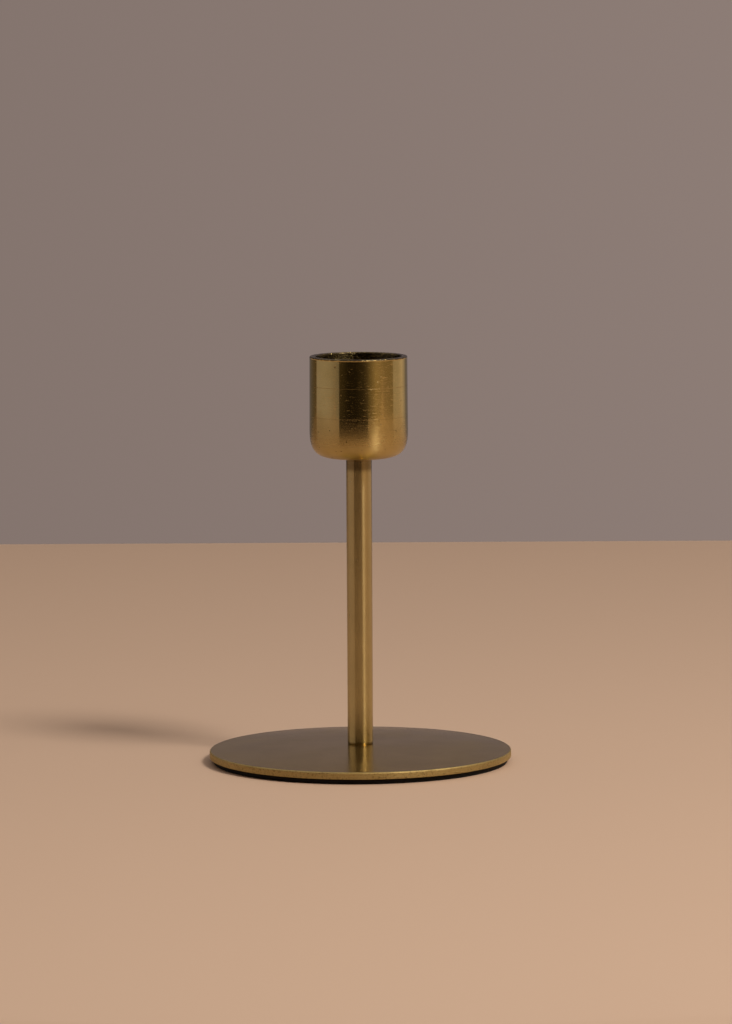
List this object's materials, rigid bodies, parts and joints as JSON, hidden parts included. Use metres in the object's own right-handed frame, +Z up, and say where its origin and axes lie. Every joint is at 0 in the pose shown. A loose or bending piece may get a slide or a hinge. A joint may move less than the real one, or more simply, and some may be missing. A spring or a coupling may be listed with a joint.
{
  "type": "taper candle holder",
  "caption": "Small brass holder for one dinner candle: crowned round plate on a rubber foot, slim straight stem and a straight-sided cup with a rounded lower edge.",
  "frame": {"origin": "middle of the underside of the rubber foot, where the holder stands", "axes": "+Z up along the stem towards the cup's mouth; the shape is turned about Z, so X and Y are free, and -Y is taken as the front"},
  "size_m": [0.08, 0.08, 0.108],
  "materials": {
    "rubber": "black anti-slip rubber sheet, matt, finely pebbled",
    "plate_brass": "satin, fine turning marks round the middle",
    "stem_brass": "satin, drawn along its length",
    "cup_brass": "satin, turned, with a worn bright rim",
    "screw_steel": "zinc-plated steel",
    "washer_steel": "zinc-plated steel, stamped"
  },
  "bodies": {
    "root": {"rubber_foot": "rubber", "base_plate": "plate_brass", "base_screw": "screw_steel", "stem": "stem_brass", "candle_cup": "cup_brass", "cup_washer": "washer_steel", "cup_screw": "screw_steel"}
  },
  "joints": []
}
